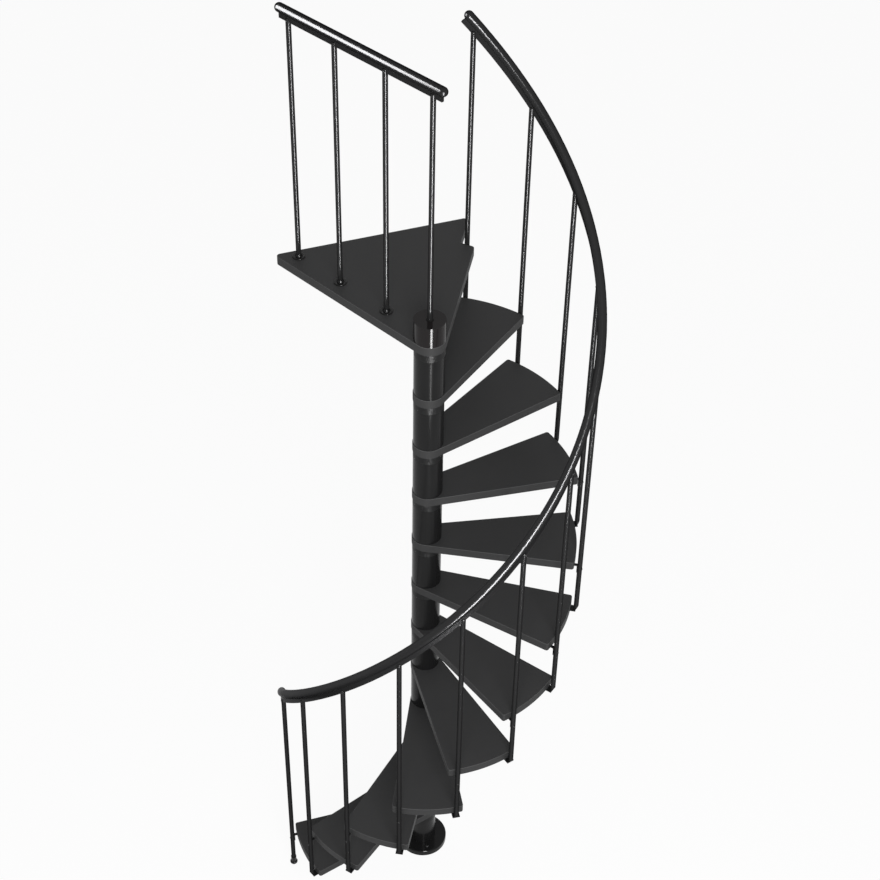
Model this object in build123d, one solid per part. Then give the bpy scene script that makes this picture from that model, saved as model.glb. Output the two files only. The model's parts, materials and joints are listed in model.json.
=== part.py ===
from build123d import *
import os
from math import atan, atan2, cos, degrees, radians, sin, sqrt

# A spiral staircase kit. Eleven wedge treads and a landing are threaded on a central
# pole, with spacer tubes and rings between their hubs, all standing on a round flange.
# Round balusters on a circle outside the treads tie each tread to the next one above
# and carry a helical handrail. A straight guard rail runs over one side of the landing.
#
# Millimetres and degrees. Origin: pole axis on the floor, under the flange. Z is up.
# Y points square out of the landing's back edge, towards the upper floor, and X runs
# along that edge. Angles are counted anticlockwise from X, seen from above.

# Layout of the flight.
rise = 225.0
tread_count = 11
step_angle = 22.0
landing_front_angle = 59.7

# Treads and landing, which is as thick as a tread and takes the place of the last one.
tread_gap = 10.0
tread_half_angle = 8.4
hub_radius = 55.0
tread_thickness = 34.0
tread_corner_radius = 9.0
board_edge_radius = 1.5
landing_depth = 616.0
landing_side_angle = 115.7
landing_notch_offset = 4.0
landing_notch_setback = 5.0
landing_nose_setback = 18.0
landing_corner_radius = 13.0

# Central pole, the flange it stands in, and the pieces threaded on it.
pole_diameter = 48.3
pole_wall = 4.0
pole_clearance = 0.3
spacer_diameter = 106.0
spacer_wall = 3.0
ring_height = 28.0
flange_diameter = 199.0
flange_height = 26.0
flange_edge_radius = 5.0
flange_floor = 8.0
flange_neck_height = 60.0
flange_bolt_circle = 147.0
flange_bolt_count = 3
flange_bolt_hole = 11.0
flange_bolt_angle = -94.0
cap_diameter = 109.0
cap_height = 78.0
cap_wall = 4.0
cap_top = 8.0
pole_top_reach = 60.0

# Handrail section: a round tube over a flat stem.
rail_diameter = 32.0
stem_thickness = 9.0
stem_depth = 34.0
rail_height = 1084.0
rail_lower_overhang = 10.9
rail_upper_overhang = 1.65
landing_rail_height = 934.5
landing_rail_overhang = 40.0

# Balusters.
baluster_diameter = 18.0
baluster_circle = 1118.0
baluster_grip = 13.0
slot_clearance = 0.8
baluster_end_bevel = 9.0
baluster_top_round = 3.0
landing_baluster_inset = 41.5
landing_baluster_spacing = 212.0
landing_wide_spacing = 226.0
socket_clearance = 0.3
rosette_diameter = 46.0
rosette_height = 5.0
rosette_collar_diameter = 27.0
rosette_collar_height = 9.0
foot_height = 43.0
foot_diameter = 31.0
foot_face_diameter = 21.0
foot_collar_diameter = 22.5
foot_bell_height = 17.0
foot_socket_depth = 33.0

# Steel brackets under the tread corners.
bracket_reach = 40.0
bracket_thickness = 4.0
rear_bracket_width = 28.0
front_bracket_width = 10.0
front_bracket_drop = 36.0
bracket_clearance = 0.2

# Sizes and places that follow from the ones above.
landing_step = tread_count + 1
landing_centre_angle = landing_front_angle + tread_half_angle
landing_top = rise * landing_step
baluster_ring_radius = baluster_circle / 2
baluster_radius = baluster_diameter / 2
tread_radius = baluster_ring_radius - baluster_radius - tread_gap
bracket_inner_radius = tread_radius - bracket_reach
full_turn = 360.0
rail_radius = rail_diameter / 2
pole_radius = pole_diameter / 2
pole_bore_radius = pole_radius + pole_clearance
spacer_radius = spacer_diameter / 2
rail_slope = atan(rise / (radians(step_angle) * baluster_ring_radius))
rail_stem_drop = stem_depth / cos(rail_slope)
flange_top = flange_height + flange_neck_height
last_baluster = landing_depth / sin(radians(landing_side_angle)) - landing_baluster_inset
middle_baluster = last_baluster - landing_baluster_spacing
first_baluster = middle_baluster - landing_wide_spacing
landing_balusters = (first_baluster, middle_baluster, last_baluster)


def save(node, solids):
    """Writes one node, made of one solid or of several that don't touch."""
    shape = solids[0] if len(solids) == 1 else Compound(children=solids)
    export_step(shape, f"parts/{node}.step")


def along(angle, distance):
    """A point in plan at a distance from the pole axis."""
    return Vector(distance * cos(radians(angle)), distance * sin(radians(angle)))


def sideways(angle, offset):
    """A step in plan to the right of a direction that leaves the pole axis."""
    return Vector(offset * sin(radians(angle)), -offset * cos(radians(angle)))


def step_top(step):
    return rise * step


def centre_angle(step):
    """Direction of a tread's centre line, counted back from the landing."""
    return landing_centre_angle - step_angle * (landing_step - step)


def baluster_angle(index):
    """A baluster stands where a tread and the next one above overlap."""
    return centre_angle(index) + step_angle / 2


def upright(radius, height):
    return extrude(Circle(radius), height)


def board(outline, corners, corner_radius):
    """A board cut to an outline, with rounded corners and a bore for the pole."""
    slab = extrude(make_face(outline), -tread_thickness)
    posts = [
        edge
        for edge in slab.edges().filter_by(Axis.Z)
        if any((edge.center() - corner).length < tread_thickness for corner in corners)
    ]
    slab = fillet(posts, corner_radius)
    rims = slab.edges().group_by(Axis.Z)
    slab = fillet(rims[0] + rims[-1], board_edge_radius)
    bore = Pos(0, 0, -tread_thickness) * upright(pole_bore_radius, tread_thickness)
    return slab - bore


def tread():
    """One tread with its centre line on X and its upper face at height 0."""
    edge_length = sqrt(tread_radius**2 - hub_radius**2)
    left_start = sideways(tread_half_angle, -hub_radius)
    right_start = sideways(-tread_half_angle, hub_radius)
    left_end = left_start + along(tread_half_angle, edge_length)
    right_end = right_start + along(-tread_half_angle, edge_length)
    outline = [
        ThreePointArc(left_start, (-hub_radius, 0), right_start),
        Line(right_start, right_end),
        ThreePointArc(right_end, (tread_radius, 0), left_end),
        Line(left_end, left_start),
    ]
    return board(outline, [left_end, right_end], tread_corner_radius)


def landing():
    """The landing board: a tread's front edge, a notch past the last baluster, and the rear."""
    front, side = landing_front_angle, landing_side_angle
    front_start = sideways(front, hub_radius)
    nose = front_start + along(front, baluster_ring_radius - landing_nose_setback)
    notch_start = sideways(front, landing_notch_offset)
    notch = notch_start + along(front, baluster_ring_radius - landing_notch_setback)
    side_start = sideways(side, -hub_radius)
    back_right = notch_start + along(front, (landing_depth - notch_start.Y) / sin(radians(front)))
    back_left = side_start + along(side, (landing_depth - side_start.Y) / sin(radians(side)))
    hub_back = along((front + side) / 2, -hub_radius)
    outline = [
        Line(front_start, nose),
        Line(nose, notch),
        Line(notch, back_right),
        Line(back_right, back_left),
        Line(back_left, side_start),
        ThreePointArc(side_start, hub_back, front_start),
    ]
    slab = board(outline, [nose, back_right, back_left], landing_corner_radius)
    return Pos(0, 0, landing_top) * slab


def flange():
    """Floor flange: a thick disc with a neck that holds the pole, and bolt holes."""
    disc = upright(flange_diameter / 2, flange_height)
    disc = fillet(disc.edges().group_by(Axis.Z)[-1], flange_edge_radius)
    body = disc + upright(spacer_radius, flange_top)
    body -= Pos(0, 0, flange_floor) * upright(pole_bore_radius, flange_top)
    turn = Rot(0, 0, flange_bolt_angle)
    holes = PolarLocations(flange_bolt_circle / 2, flange_bolt_count)
    for place in holes:
        body -= turn * place * upright(flange_bolt_hole / 2, flange_height)
    return body


def pole():
    length = landing_top + pole_top_reach - flange_floor
    tube = upright(pole_radius, length) - upright(pole_radius - pole_wall, length)
    return Pos(0, 0, flange_floor) * tube


def spacer(step):
    """Tube between the hub below and the ring under this step's hub."""
    below = flange_top if step == 1 else step_top(step - 1)
    length = step_top(step) - tread_thickness - ring_height - below
    tube = upright(spacer_radius, length) - upright(spacer_radius - spacer_wall, length)
    return Pos(0, 0, below) * tube


def ring(step):
    """Levelling ring that centres a spacer tube on the pole."""
    disc = upright(spacer_radius, ring_height) - upright(pole_bore_radius, ring_height)
    return Pos(0, 0, step_top(step) - tread_thickness - ring_height) * disc


def cap():
    """Cup over the top of the pole, standing on the landing's hub."""
    cup = upright(cap_diameter / 2, cap_height)
    cup -= upright(cap_diameter / 2 - cap_wall, cap_height - cap_top)
    return Pos(0, 0, landing_top) * cup


def rail_section():
    """Handrail section round the tube's centre, with the stem towards +Y."""
    stem = Pos(0, stem_depth / 2) * Rectangle(stem_thickness, stem_depth)
    return Circle(rail_radius) + stem


def rail_path():
    """Centre line of the tube, turning over the balusters."""
    start = baluster_angle(0) - rail_lower_overhang
    end = baluster_angle(tread_count) + rail_upper_overhang
    climb = rise / step_angle
    helix = Helix(climb * full_turn, climb * (end - start), baluster_ring_radius)
    return Pos(0, 0, rail_height - climb * rail_lower_overhang) * Rot(0, 0, start) * helix


def handrail():
    path = rail_path()
    start = path.position_at(0)
    frame = Plane(start, x_dir=Vector(start.X, start.Y), z_dir=path.tangent_at(0))
    return sweep(frame * rail_section(), path=path, is_frenet=True)


def landing_rail_ends():
    """Ends of the tube's centre line over the landing."""
    height = Vector(0, 0, landing_top + landing_rail_height)
    near = along(landing_side_angle, -landing_rail_overhang) + height
    far = along(landing_side_angle, last_baluster + landing_rail_overhang)
    return near, far + height


def landing_rail():
    near, far = landing_rail_ends()
    run = far - near
    frame = Plane(near, x_dir=sideways(landing_side_angle, 1), z_dir=run)
    return extrude(frame * rail_section(), run.length)


def end_cap(point, outwards):
    """Half ball that closes the tube's end."""
    ball = Pos(point) * Sphere(rail_radius)
    return split(ball, bisect_by=Plane(point, z_dir=outwards), keep=Keep.TOP)


def end_caps():
    path = rail_path()
    near, far = landing_rail_ends()
    return [
        end_cap(path.position_at(0), -path.tangent_at(0)),
        end_cap(path.position_at(1), path.tangent_at(1)),
        end_cap(near, near - far),
        end_cap(far, far - near),
    ]


def slot(slope):
    """Cutter for a baluster's fork, bottom at height 0, running along Y."""
    width = stem_thickness + 2 * slot_clearance
    reach = 4 * baluster_diameter
    return Rot(slope, 0, 0) * extrude(Rectangle(width, reach), reach)


def baluster(index):
    """A baluster between a tread's rear corner and the helical handrail."""
    stem_bottom = rise * index + rail_height - rail_stem_drop
    top = stem_bottom + baluster_grip
    if index == 0:
        bottom = foot_height - foot_socket_depth
    else:
        bottom = step_top(index) - tread_thickness
    rod = round_top(upright(baluster_radius, top - bottom))
    if index > 0:
        rod = chamfer_outside(rod)
    rod = Pos(0, 0, bottom) * rod
    rod -= Pos(0, 0, stem_bottom - slot_clearance) * slot(degrees(rail_slope))
    return Rot(0, 0, baluster_angle(index)) * Pos(baluster_ring_radius, 0) * rod


def round_top(rod):
    return fillet(rod.edges().group_by(Axis.Z)[-1], baluster_top_round)


def chamfer_outside(rod):
    """Cuts a baluster's lower end to a slant on the side away from the pole."""
    lean = degrees(atan2(baluster_radius, 2 * baluster_end_bevel))
    reach = 4 * baluster_diameter
    wedge = Pos(reach / 2, 0, -reach / 2) * Box(reach, reach, reach)
    return rod - Rot(0, -90 + lean, 0) * wedge


def landing_baluster(distance, seat):
    """A baluster that stands on the landing or on the pole cap."""
    stem_bottom = landing_top + landing_rail_height - stem_depth
    rod = upright(baluster_radius, stem_bottom + baluster_grip - seat)
    rod = Pos(0, 0, seat) * round_top(rod)
    rod -= Pos(0, 0, stem_bottom - slot_clearance) * slot(0)
    turn = Rot(0, 0, landing_side_angle - 90)
    return Pos(along(landing_side_angle, distance)) * turn * rod


def rosette(distance):
    """Screwed base round a landing baluster, with a short conical collar."""
    plate = upright(rosette_diameter / 2, rosette_height)
    plate = fillet(plate.edges().group_by(Axis.Z)[-1], rosette_height / 2)
    collar = Cone(
        rosette_collar_diameter / 2,
        baluster_radius + 2,
        rosette_collar_height,
        align=(Align.CENTER, Align.CENTER, Align.MIN),
    )
    body = plate + Pos(0, 0, rosette_height) * collar
    body -= upright(baluster_radius + socket_clearance, rosette_height + rosette_collar_height)
    return Pos(along(landing_side_angle, distance)) * Pos(0, 0, landing_top) * body


def foot():
    """Turned foot of the first baluster: a bell on the floor and a socket above it."""
    bell_radius = foot_diameter / 2
    outline = [
        Line((0, 0), (foot_face_diameter / 2, 0)),
        ThreePointArc(
            (foot_face_diameter / 2, 0),
            (bell_radius, foot_bell_height * 0.4),
            (foot_collar_diameter / 2, foot_bell_height),
        ),
        Line((foot_collar_diameter / 2, foot_bell_height), (foot_collar_diameter / 2, foot_height)),
        Line((foot_collar_diameter / 2, foot_height), (0, foot_height)),
        Line((0, foot_height), (0, 0)),
    ]
    body = revolve(Plane.XZ * make_face(outline), Axis.Z)
    socket_floor = foot_height - foot_socket_depth
    body -= Pos(0, 0, socket_floor) * upright(baluster_radius + socket_clearance, foot_height)
    return Rot(0, 0, baluster_angle(0)) * Pos(baluster_ring_radius, 0) * body


def rear_bracket(index):
    """Flat plate under a tread's rear corner, on which a baluster stands."""
    length = baluster_ring_radius - bracket_inner_radius
    plate = Box(length, rear_bracket_width, bracket_thickness,
                align=(Align.MIN, Align.CENTER, Align.MAX))
    height = step_top(index) - tread_thickness
    return Rot(0, 0, baluster_angle(index)) * Pos(bracket_inner_radius, 0, height) * plate


def front_bracket(index):
    """Angle under a tread's front corner that holds the baluster passing by."""
    place = (Align.MIN, Align.CENTER, Align.MAX)
    length = baluster_ring_radius - bracket_inner_radius
    arm = Box(length, front_bracket_width, bracket_thickness, align=place)
    leg_start = baluster_ring_radius - baluster_radius - bracket_thickness / 2
    leg_length = length - (leg_start - bracket_inner_radius)
    leg = Box(leg_length, front_bracket_width, front_bracket_drop, align=place)
    body = arm + Pos(leg_start - bracket_inner_radius, 0) * leg
    rod = upright(baluster_radius + bracket_clearance, 2 * front_bracket_drop)
    body -= Pos(length, 0, -front_bracket_drop) * rod
    height = step_top(index + 1) - tread_thickness
    return Rot(0, 0, baluster_angle(index)) * Pos(bracket_inner_radius, 0, height) * body


os.makedirs("parts", exist_ok=True)

steps = range(1, landing_step + 1)
save("floor_flange", [flange()])
save("central_pole", [pole()])
save("spacer_tubes", [spacer(step) for step in steps])
save("spacer_rings", [ring(step) for step in steps])
plain_tread = tread()
for step in range(1, landing_step):
    placed = Pos(0, 0, step_top(step)) * Rot(0, 0, centre_angle(step)) * plain_tread
    save(f"tread_{step:02d}", [placed])
save("landing", [landing()])
save("pole_cap", [cap()])

save("floor_foot", [foot()])
for index in range(landing_step):
    save(f"baluster_{index:02d}", [baluster(index)])
save("rear_brackets", [rear_bracket(index) for index in range(1, landing_step)])
save("front_brackets", [front_bracket(index) for index in range(landing_step)])
save("handrail", [handrail()])

for number, distance in enumerate(landing_balusters, start=1):
    save(f"landing_baluster_{number}", [landing_baluster(distance, landing_top)])
save("cap_baluster", [landing_baluster(0, landing_top + cap_height)])
save("landing_rosettes", [rosette(distance) for distance in landing_balusters])
save("landing_handrail", [landing_rail()])
save("rail_end_caps", end_caps())
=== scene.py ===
import math
import bpy
import bmesh
from mathutils import Matrix, Vector
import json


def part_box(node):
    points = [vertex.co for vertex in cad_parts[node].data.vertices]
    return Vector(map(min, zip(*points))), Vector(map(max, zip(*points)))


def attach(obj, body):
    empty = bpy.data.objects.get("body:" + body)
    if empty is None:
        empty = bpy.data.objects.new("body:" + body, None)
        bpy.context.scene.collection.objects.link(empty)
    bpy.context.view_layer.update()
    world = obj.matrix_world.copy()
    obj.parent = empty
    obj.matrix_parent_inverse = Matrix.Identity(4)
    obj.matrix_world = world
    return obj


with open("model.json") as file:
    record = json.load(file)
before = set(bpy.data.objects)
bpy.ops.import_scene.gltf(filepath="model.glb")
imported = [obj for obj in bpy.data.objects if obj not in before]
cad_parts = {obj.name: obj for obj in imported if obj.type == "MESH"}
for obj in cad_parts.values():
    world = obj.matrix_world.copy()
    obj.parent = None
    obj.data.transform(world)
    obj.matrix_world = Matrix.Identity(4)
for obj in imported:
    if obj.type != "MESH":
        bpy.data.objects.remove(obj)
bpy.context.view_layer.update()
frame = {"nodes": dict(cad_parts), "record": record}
nodes = frame["nodes"]


# ---- Room ---------------------------------------------------------------
# A pale floor under the stair and a white surround. A broad soft lamp in
# front gives the level, and a tall strip beside it draws the line down
# every round bar and tube.
def sees_white(tree):
    """1 where the camera, a mirror or a window looks, 0 for light that falls on things."""
    path = tree.nodes.new("ShaderNodeLightPath")
    first = tree.nodes.new("ShaderNodeMath")
    first.operation = "MAXIMUM"
    second = tree.nodes.new("ShaderNodeMath")
    second.operation = "MAXIMUM"
    tree.links.new(path.outputs["Is Camera Ray"], first.inputs[0])
    tree.links.new(path.outputs["Is Glossy Ray"], first.inputs[1])
    tree.links.new(path.outputs["Is Transmission Ray"], second.inputs[0])
    tree.links.new(first.outputs[0], second.inputs[1])
    return second.outputs[0]


room_light = 0.5
world = bpy.data.worlds.new("white_surround")
world.use_nodes = True
air = world.node_tree
surround = air.nodes["Background"]
surround.inputs["Color"].default_value = (1.0, 1.0, 1.0, 1.0)
level = air.nodes.new("ShaderNodeMapRange")
level.inputs["To Min"].default_value = room_light
level.inputs["To Max"].default_value = 1.0
air.links.new(sees_white(air), level.inputs["Value"])
air.links.new(level.outputs["Result"], surround.inputs["Strength"])
bpy.context.scene.world = world

floor_reach = 14.0
floor_tone = (0.85, 0.85, 0.85, 1.0)
floor_roughness = 0.9
floor_whiteness = 0.92
mesh = bmesh.new()
bmesh.ops.create_grid(mesh, x_segments=1, y_segments=1, size=floor_reach)
floor_mesh = bpy.data.meshes.new("floor")
mesh.to_mesh(floor_mesh)
mesh.free()
floor = bpy.data.objects.new("floor", floor_mesh)
bpy.context.scene.collection.objects.link(floor)
paint = bpy.data.materials.new("pale_floor")
paint.use_nodes = True
tree = paint.node_tree
shader = tree.nodes["Principled BSDF"]
shader.inputs["Base Color"].default_value = floor_tone
shader.inputs["Roughness"].default_value = floor_roughness
glow = tree.nodes.new("ShaderNodeEmission")
glow.inputs["Strength"].default_value = 1.0
blend = tree.nodes.new("ShaderNodeMixShader")
share = tree.nodes.new("ShaderNodeMath")
share.operation = "MULTIPLY"
share.inputs[1].default_value = floor_whiteness
tree.links.new(sees_white(tree), share.inputs[0])
tree.links.new(share.outputs[0], blend.inputs["Fac"])
tree.links.new(shader.outputs["BSDF"], blend.inputs[1])
tree.links.new(glow.outputs["Emission"], blend.inputs[2])
tree.links.new(blend.outputs["Shader"], tree.nodes["Material Output"].inputs["Surface"])
floor_mesh.materials.append(paint)


def lamp(name, place, aim, width, height, watts):
    """A rectangular soft lamp that lights the stair but isn't seen itself."""
    light = bpy.data.lights.new(name, "AREA")
    light.shape = "RECTANGLE"
    light.size = width
    light.size_y = height
    light.energy = watts
    holder = bpy.data.objects.new(name, light)
    bpy.context.scene.collection.objects.link(holder)
    holder.location = place
    turn = (Vector(aim) - Vector(place)).to_track_quat("-Z", "Y")
    holder.rotation_euler = turn.to_euler()
    holder.visible_camera = False
    return holder


soft_lamp = lamp("soft_lamp", place=(-0.9, -3.8, 3.9), aim=(0.0, 0.0, 1.8),
                 width=2.4, height=2.4, watts=190.0)
soft_lamp.visible_glossy = False
on_the_pole = (0.0, 0.0, 2.35)
strip_lamp = lamp("strip_lamp", place=(-0.32, -2.28, 2.35), aim=on_the_pole,
                  width=0.12, height=3.5, watts=90.0)
strip_lamp.visible_diffuse = False

camera = bpy.data.cameras.new("camera")
camera.sensor_width = 36.0
camera.lens = 73.02
camera.shift_x = 0.0471
tilt = math.radians(48.651)
turn = math.radians(-18.59)
stand = bpy.data.objects.new("camera", camera)
bpy.context.scene.collection.objects.link(stand)
stand.location = (-1.5670, -4.3387, 6.3140)
stand.rotation_euler = (tilt, 0.0, turn)
bpy.context.scene.camera = stand
bpy.context.scene.view_settings.view_transform = "Standard"


# ---- Treads and landing -------------------------------------------------
# Boards cut to a wedge and sprayed all round with a satin black lacquer,
# smooth and slightly cloudy, with a painted highlight on the rounded upper edges.
def sprayed(name, dark, light, roughness, grain, relief, specular):
    """A sprayed or moulded black: cloudy tone and sheen, and a fine grain in its surface."""
    clouds_per_metre = 7.0
    grain_depth = 0.0004
    coat = bpy.data.materials.new(name)
    coat.use_nodes = True
    net = coat.node_tree
    shader = net.nodes["Principled BSDF"]
    shader.inputs["Specular IOR Level"].default_value = specular
    place = net.nodes.new("ShaderNodeTexCoord")
    clouds = net.nodes.new("ShaderNodeTexNoise")
    clouds.inputs["Scale"].default_value = clouds_per_metre
    clouds.inputs["Detail"].default_value = 4.0
    tone = net.nodes.new("ShaderNodeMix")
    tone.name = "tone"
    tone.data_type = "RGBA"
    tone.inputs["A"].default_value = (*dark, 1.0)
    tone.inputs["B"].default_value = (*light, 1.0)
    sheen = net.nodes.new("ShaderNodeMapRange")
    sheen.inputs["To Min"].default_value = roughness[0]
    sheen.inputs["To Max"].default_value = roughness[1]
    specks = net.nodes.new("ShaderNodeTexNoise")
    specks.inputs["Scale"].default_value = grain
    specks.inputs["Detail"].default_value = 2.0
    bumps = net.nodes.new("ShaderNodeBump")
    bumps.inputs["Strength"].default_value = relief
    bumps.inputs["Distance"].default_value = grain_depth
    net.links.new(place.outputs["Object"], clouds.inputs["Vector"])
    net.links.new(place.outputs["Object"], specks.inputs["Vector"])
    net.links.new(clouds.outputs["Fac"], tone.inputs["Factor"])
    net.links.new(tone.outputs["Result"], shader.inputs["Base Color"])
    net.links.new(clouds.outputs["Fac"], sheen.inputs["Value"])
    net.links.new(sheen.outputs["Result"], shader.inputs["Roughness"])
    net.links.new(specks.outputs["Fac"], bumps.inputs["Height"])
    net.links.new(bumps.outputs["Normal"], shader.inputs["Normal"])
    return coat


def paint_edge_highlight(coat, highlight_tone):
    """Paints a highlight on the rounded upper edges: a lighter tone where they slope upward.
    """
    middle_slope = 0.5
    slope_reach = 0.38
    net = coat.node_tree
    surface = net.nodes.new("ShaderNodeNewGeometry")
    split = net.nodes.new("ShaderNodeSeparateXYZ")
    rounded = net.nodes.new("ShaderNodeMath")
    rounded.operation = "COMPARE"
    rounded.inputs[1].default_value = middle_slope
    rounded.inputs[2].default_value = slope_reach
    edge = net.nodes.new("ShaderNodeMix")
    edge.data_type = "RGBA"
    edge.inputs["B"].default_value = (*highlight_tone, 1.0)
    net.links.new(surface.outputs["Normal"], split.inputs["Vector"])
    net.links.new(split.outputs["Z"], rounded.inputs[0])
    net.links.new(rounded.outputs["Value"], edge.inputs["Factor"])
    net.links.new(net.nodes["tone"].outputs["Result"], edge.inputs["A"])
    net.links.new(edge.outputs["Result"], net.nodes["Principled BSDF"].inputs["Base Color"])


def finish(names, coat):
    """Gives CAD nodes their coat."""
    for name in names:
        skin = nodes[name].data.materials
        skin.clear()
        skin.append(coat)


boards = [name for name in nodes if name.startswith("tread_")] + ["landing"]
board_coat = sprayed(
    "satin_black_lacquer", dark=(0.033, 0.033, 0.0335), light=(0.039, 0.039, 0.0395),
    roughness=(0.5, 0.62), grain=700.0, relief=0.12, specular=0.1)
# A painted highlight: a lighter tone on the boards' rounded upper edges.
paint_edge_highlight(board_coat, highlight_tone=(0.075, 0.075, 0.076))
finish(boards, board_coat)


# ---- Spacer tubes and rings ---------------------------------------------
# Steel tubes with a smooth black powder coat, threaded on the pole between
# the boards, and under each board a moulded levelling ring, a little softer.
tube_coat = sprayed(
    "smooth_black_powder_coat", dark=(0.009, 0.009, 0.0092), light=(0.013, 0.013, 0.0133),
    roughness=(0.2, 0.26), grain=700.0, relief=0.02, specular=0.09)
finish(["spacer_tubes", "central_pole"], tube_coat)
ring_coat = sprayed(
    "moulded_black_ring", dark=(0.010, 0.010, 0.0102), light=(0.014, 0.014, 0.0143),
    roughness=(0.34, 0.42), grain=600.0, relief=0.08, specular=0.07)
finish(["spacer_rings"], ring_coat)


# ---- Pole cap -----------------------------------------------------------
# A deep moulded cup in a polished brown-black, pushed over the pole's end.
# A soft grommet seals the hole where the guard rail's first bar stands in it.
def piece(name, mesh, coat):
    """A finished piece on the stair: outward faces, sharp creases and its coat."""
    crease = math.radians(35)
    merge_distance = 1e-6
    bmesh.ops.remove_doubles(mesh, verts=mesh.verts, dist=merge_distance)
    bmesh.ops.recalc_face_normals(mesh, faces=mesh.faces)
    data = bpy.data.meshes.new(name)
    mesh.to_mesh(data)
    mesh.free()
    for face in data.polygons:
        face.use_smooth = True
    data.set_sharp_from_angle(angle=crease)
    data.materials.append(coat)
    made = bpy.data.objects.new(name, data)
    bpy.context.scene.collection.objects.link(made)
    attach(made, "root")
    return made


def axis(name):
    """Middle of an upright bar in plan, at the height of its upper end."""
    low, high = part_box(name)
    return Vector(((low[0] + high[0]) / 2, (low[1] + high[1]) / 2, high[2]))


cap_coat = sprayed(
    "polished_brown_black", dark=(0.011, 0.0098, 0.010), light=(0.015, 0.0135, 0.0138),
    roughness=(0.08, 0.12), grain=300.0, relief=0.005, specular=0.09)
finish(["pole_cap"], cap_coat)

grommet_bore = 0.0092
grommet_radius = 0.0125
grommet_height = 0.005
grommet_lip = 0.0015
grommet_steps = 40
full_turn = 2 * math.pi
cap_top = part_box("pole_cap")[1][2]
grommet_place = axis("cap_baluster")
grommet_place.z = cap_top
mesh = bmesh.new()
profile = [
    (grommet_bore, 0.0),
    (grommet_radius, 0.0),
    (grommet_radius, grommet_height - grommet_lip),
    (grommet_radius - grommet_lip, grommet_height),
    (grommet_bore, grommet_height),
]
corners = [mesh.verts.new((radius, 0.0, height)) for radius, height in profile]
outline = [mesh.edges.new((corner, following))
           for corner, following in zip(corners, corners[1:] + corners[:1])]
bmesh.ops.spin(mesh, geom=corners + outline, cent=(0, 0, 0), axis=(0, 0, 1),
               angle=full_turn, steps=grommet_steps, use_merge=True)
bmesh.ops.translate(mesh, verts=mesh.verts, vec=grommet_place)
rubber = sprayed(
    "soft_black_rubber", dark=(0.006, 0.006, 0.006), light=(0.009, 0.009, 0.009),
    roughness=(0.5, 0.6), grain=900.0, relief=0.1, specular=0.1)
piece("cap_grommet", mesh, rubber)


# ---- Floor flange -------------------------------------------------------
# A heavy turned flange in a deep gloss black, held to the floor by three
# round-headed bolts with a hexagon socket.
def socket_head(width, height, socket):
    """Pattern of a round screw head with a hexagon socket, standing on height 0."""
    sides = 24
    flank = height * 0.3
    domed_steps = ((0.2, 0.3), (0.35, 0.3), (0.35, 0.1))
    corner_turn = math.radians(60)
    flat_turn = corner_turn / 2
    socket_draft = socket * 0.02
    socket_depth = height * 0.55
    mesh = bmesh.new()
    rim = bmesh.ops.create_cone(mesh, cap_ends=True, segments=sides, radius1=width / 2,
                                radius2=width / 2, depth=flank)
    bmesh.ops.translate(mesh, verts=mesh.verts, vec=(0, 0, flank / 2))
    touching = {face for corner in rim["verts"] for face in corner.link_faces}
    top = max(touching, key=lambda face: face.calc_center_median().z)
    shoulder = (width - socket) / 2
    for inwards, upwards in domed_steps:
        bmesh.ops.inset_region(mesh, faces=[top], thickness=shoulder * inwards,
                               depth=height * upwards)
    for corner in top.verts:
        turned = math.atan2(corner.co.y, corner.co.x) % corner_turn
        corner.co.xy *= math.cos(flat_turn) / math.cos(turned - flat_turn)
    bmesh.ops.inset_region(mesh, faces=[top], thickness=socket_draft, depth=-socket_depth)
    bmesh.ops.poke(mesh, faces=[top])
    pattern = bpy.data.meshes.new("screw_pattern")
    mesh.to_mesh(pattern)
    mesh.free()
    return pattern


def set_screws(pattern, places):
    """Copies of a screw pattern, each at its place and with its head facing outwards."""
    mesh = bmesh.new()
    for place, facing in places:
        first = len(mesh.verts)
        mesh.from_mesh(pattern)
        mesh.verts.ensure_lookup_table()
        turn = facing.to_track_quat("Z", "Y").to_matrix().to_4x4()
        bmesh.ops.transform(mesh, matrix=Matrix.Translation(place) @ turn,
                            verts=mesh.verts[first:])
    return mesh


flange_coat = sprayed(
    "deep_gloss_black", dark=(0.008, 0.008, 0.0082), light=(0.011, 0.011, 0.0113),
    roughness=(0.1, 0.16), grain=300.0, relief=0.01, specular=0.08)
finish(["floor_flange"], flange_coat)

bolts = next(mount for mount in frame["record"]["mounts"] if mount["name"] == "floor_bolts")
bolt_circle = bolts["dims"]["pcd_mm"] / 1000
bolt_count = bolts["dims"]["count"]
first_bolt_turn = math.radians(-94.0)
flange_face = 0.026
bolt_head_width = 0.014
bolt_head_height = 0.0046
bolt_socket = 0.0068
up = Vector((0.0, 0.0, 1.0))
bolt_places = []
for number in range(bolt_count):
    turn = first_bolt_turn + number * full_turn / bolt_count
    place = Vector((math.cos(turn), math.sin(turn), 0.0)) * bolt_circle / 2
    place.z = flange_face
    bolt_places.append((place, up))
bolt_pattern = socket_head(bolt_head_width, bolt_head_height, bolt_socket)
bolt_coat = sprayed(
    "blacked_bolt_steel", dark=(0.010, 0.010, 0.0105), light=(0.018, 0.018, 0.0185),
    roughness=(0.28, 0.4), grain=900.0, relief=0.1, specular=0.3)
piece("flange_bolts", set_screws(bolt_pattern, bolt_places), bolt_coat)


# ---- Balusters ----------------------------------------------------------
# Round steel bars in semi-gloss black. Each upper end is slotted over the
# rail's flat stem and clamped to it by a small screw from either side.
def polish(coat, metal, edge):
    """Mixes a dark metal into a coat, which then stays dark where it curves away."""
    shader = coat.node_tree.nodes["Principled BSDF"]
    shader.inputs["Metallic"].default_value = metal
    shader.inputs["Specular Tint"].default_value = (edge, edge, edge, 1.0)


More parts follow.
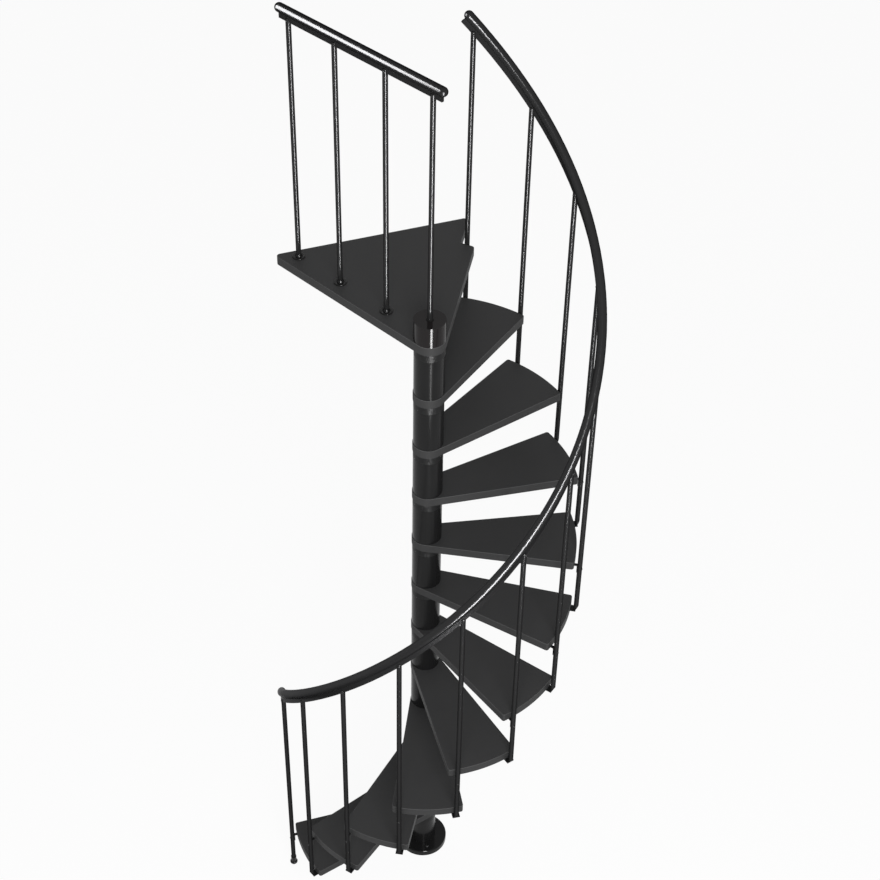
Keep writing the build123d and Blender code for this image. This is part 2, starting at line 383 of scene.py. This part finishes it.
rail_bars = sorted(name for name in nodes if name.startswith("baluster_"))
guard_bars = sorted(name for name in nodes if name.startswith("landing_baluster_"))
bar_coat = sprayed(
    "semi_gloss_black_bar", dark=(0.028, 0.028, 0.0285), light=(0.032, 0.032, 0.0325),
    roughness=(0.16, 0.2), grain=500.0, relief=0.01, specular=0.0)
polish(bar_coat, metal=0.5, edge=0.1)
finish(rail_bars + guard_bars + ["cap_baluster"], bar_coat)

clamp_screw_drop = 0.008
bar_side = 0.0081
clamp_head_width = 0.0072
clamp_head_height = 0.0024
clamp_socket = 0.0036


def outwards(place):
    """Level direction from the pole to a place."""
    return Vector((place.x, place.y, 0.0)).normalized()


def both_sides(upper_end, sideways):
    """Places of a bar's two clamp screws, below its upper end."""
    middle = upper_end - up * clamp_screw_drop
    return [(middle + side * bar_side, side) for side in (sideways, -sideways)]


guard_line = (axis(guard_bars[-1]) - axis("cap_baluster")).normalized()
across_guard = Vector((guard_line.y, -guard_line.x, 0.0))
clamp_places = []
for name in rail_bars:
    clamp_places += both_sides(axis(name), outwards(axis(name)))
for name in guard_bars + ["cap_baluster"]:
    clamp_places += both_sides(axis(name), across_guard)
screw_pattern = socket_head(clamp_head_width, clamp_head_height, clamp_socket)
screw_coat = sprayed(
    "blacked_screw_steel", dark=(0.012, 0.012, 0.0125), light=(0.020, 0.020, 0.0205),
    roughness=(0.24, 0.34), grain=900.0, relief=0.1, specular=0.35)
piece("clamp_screws", set_screws(screw_pattern, clamp_places), screw_coat)


# ---- Brackets under the boards ------------------------------------------
# Small steel plates and angles, satin black. Two screws hold each plate to
# the board above it. One holds each angle to its board, and one goes through
# the bar into the angle's leg.
bracket_coat = sprayed(
    "satin_black_bracket", dark=(0.006, 0.006, 0.0062), light=(0.009, 0.009, 0.0093),
    roughness=(0.28, 0.36), grain=600.0, relief=0.06, specular=0.12)
finish(["rear_brackets", "front_brackets"], bracket_coat)

bracket_thickness = 0.004
plate_screw_setbacks = (0.050, 0.030)
arm_screw_setback = 0.045
leg_screw_drop = 0.020
bracket_places = []
for number, name in enumerate(rail_bars):
    bar = axis(name)
    away = outwards(bar)
    upper_board = "landing" if number == len(rail_bars) - 1 else f"tread_{number + 1:02d}"
    bar.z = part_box(upper_board)[0][2]
    under_plate = bar - up * bracket_thickness
    bracket_places.append((under_plate - away * arm_screw_setback, -up))
    bracket_places.append((bar - up * leg_screw_drop + away * bar_side, away))
    if number > 0:
        under_plate.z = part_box(f"tread_{number:02d}")[0][2] - bracket_thickness
        for setback in plate_screw_setbacks:
            bracket_places.append((under_plate - away * setback, -up))
piece("bracket_screws", set_screws(screw_pattern, bracket_places), screw_coat)


# ---- Rosettes and floor foot --------------------------------------------
# Moulded rosettes round the feet of the guard rail's bars, each screwed to
# the board by three small screws, and a turned foot under the first bar.
fitting_coat = sprayed(
    "semi_gloss_black_fitting", dark=(0.006, 0.006, 0.0062), light=(0.010, 0.010, 0.0103),
    roughness=(0.16, 0.24), grain=400.0, relief=0.04, specular=0.15)
finish(["landing_rosettes", "floor_foot"], fitting_coat)

rosette_face = 0.005
rosette_screw_radius = 0.0172
rosette_screw_count = 3
rosette_head_width = 0.0058
rosette_head_height = 0.0018
rosette_socket = 0.0028
board_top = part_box("landing")[1][2]
rosette_places = []
for name in guard_bars:
    middle = axis(name)
    middle.z = board_top + rosette_face
    for number in range(rosette_screw_count):
        turn = Matrix.Rotation(number * full_turn / rosette_screw_count, 3, "Z")
        arm = turn @ -across_guard
        rosette_places.append((middle + arm * rosette_screw_radius, up))
small_pattern = socket_head(rosette_head_width, rosette_head_height, rosette_socket)
piece("rosette_screws", set_screws(small_pattern, rosette_places), screw_coat)


# ---- Handrails ----------------------------------------------------------
# Extruded rails with a flat stem under a round top, in a polished black
# plastic, closed by half-ball caps. Three lamps show only as bright lines on
# the polished pieces, and a fourth lightens the low end of the stair's rail.
rail_coat = sprayed(
    "polished_black_rail", dark=(0.022, 0.022, 0.0225), light=(0.025, 0.025, 0.0255),
    roughness=(0.19, 0.23), grain=300.0, relief=0.005, specular=0.0)
polish(rail_coat, metal=0.42, edge=0.08)
guard_rail = ["landing_handrail", "rail_end_caps"]
rails = ["handrail"] + guard_rail
finish(rails, rail_coat)


def picks_out(holder, names, matt=False):
    """Lets a lamp reach only the named CAD nodes, as a reflection or as matt light."""
    holder.visible_diffuse = matt
    holder.visible_glossy = not matt
    chosen = bpy.data.collections.new(holder.name)
    for name in names:
        chosen.objects.link(nodes[name])
    holder.light_linking.receiver_collection = chosen


polished = rail_bars + guard_bars + [
    "cap_baluster", "pole_cap", "spacer_rings", "landing_rosettes", "floor_flange"]
for name, watts, names in (("bar_lamp", 380.0, polished), ("rail_lamp", 640.0, rails)):
    tall_lamp = lamp(name, place=(-0.32, -2.30, 2.35), aim=on_the_pole,
                     width=0.6, height=3.5, watts=watts)
    picks_out(tall_lamp, names)
guard_lamp = lamp("guard_lamp", place=(-1.55, 0.85, 4.0), aim=(-0.25, 0.5, 3.6),
                  width=1.0, height=1.2, watts=380.0)
picks_out(guard_lamp, guard_rail)
low_lamp = lamp("low_lamp", place=(-1.95, 1.25, 1.3), aim=(-0.53, 0.0, 0.98),
                width=0.4, height=0.4, watts=135.0)
picks_out(low_lamp, ["handrail"], matt=True)
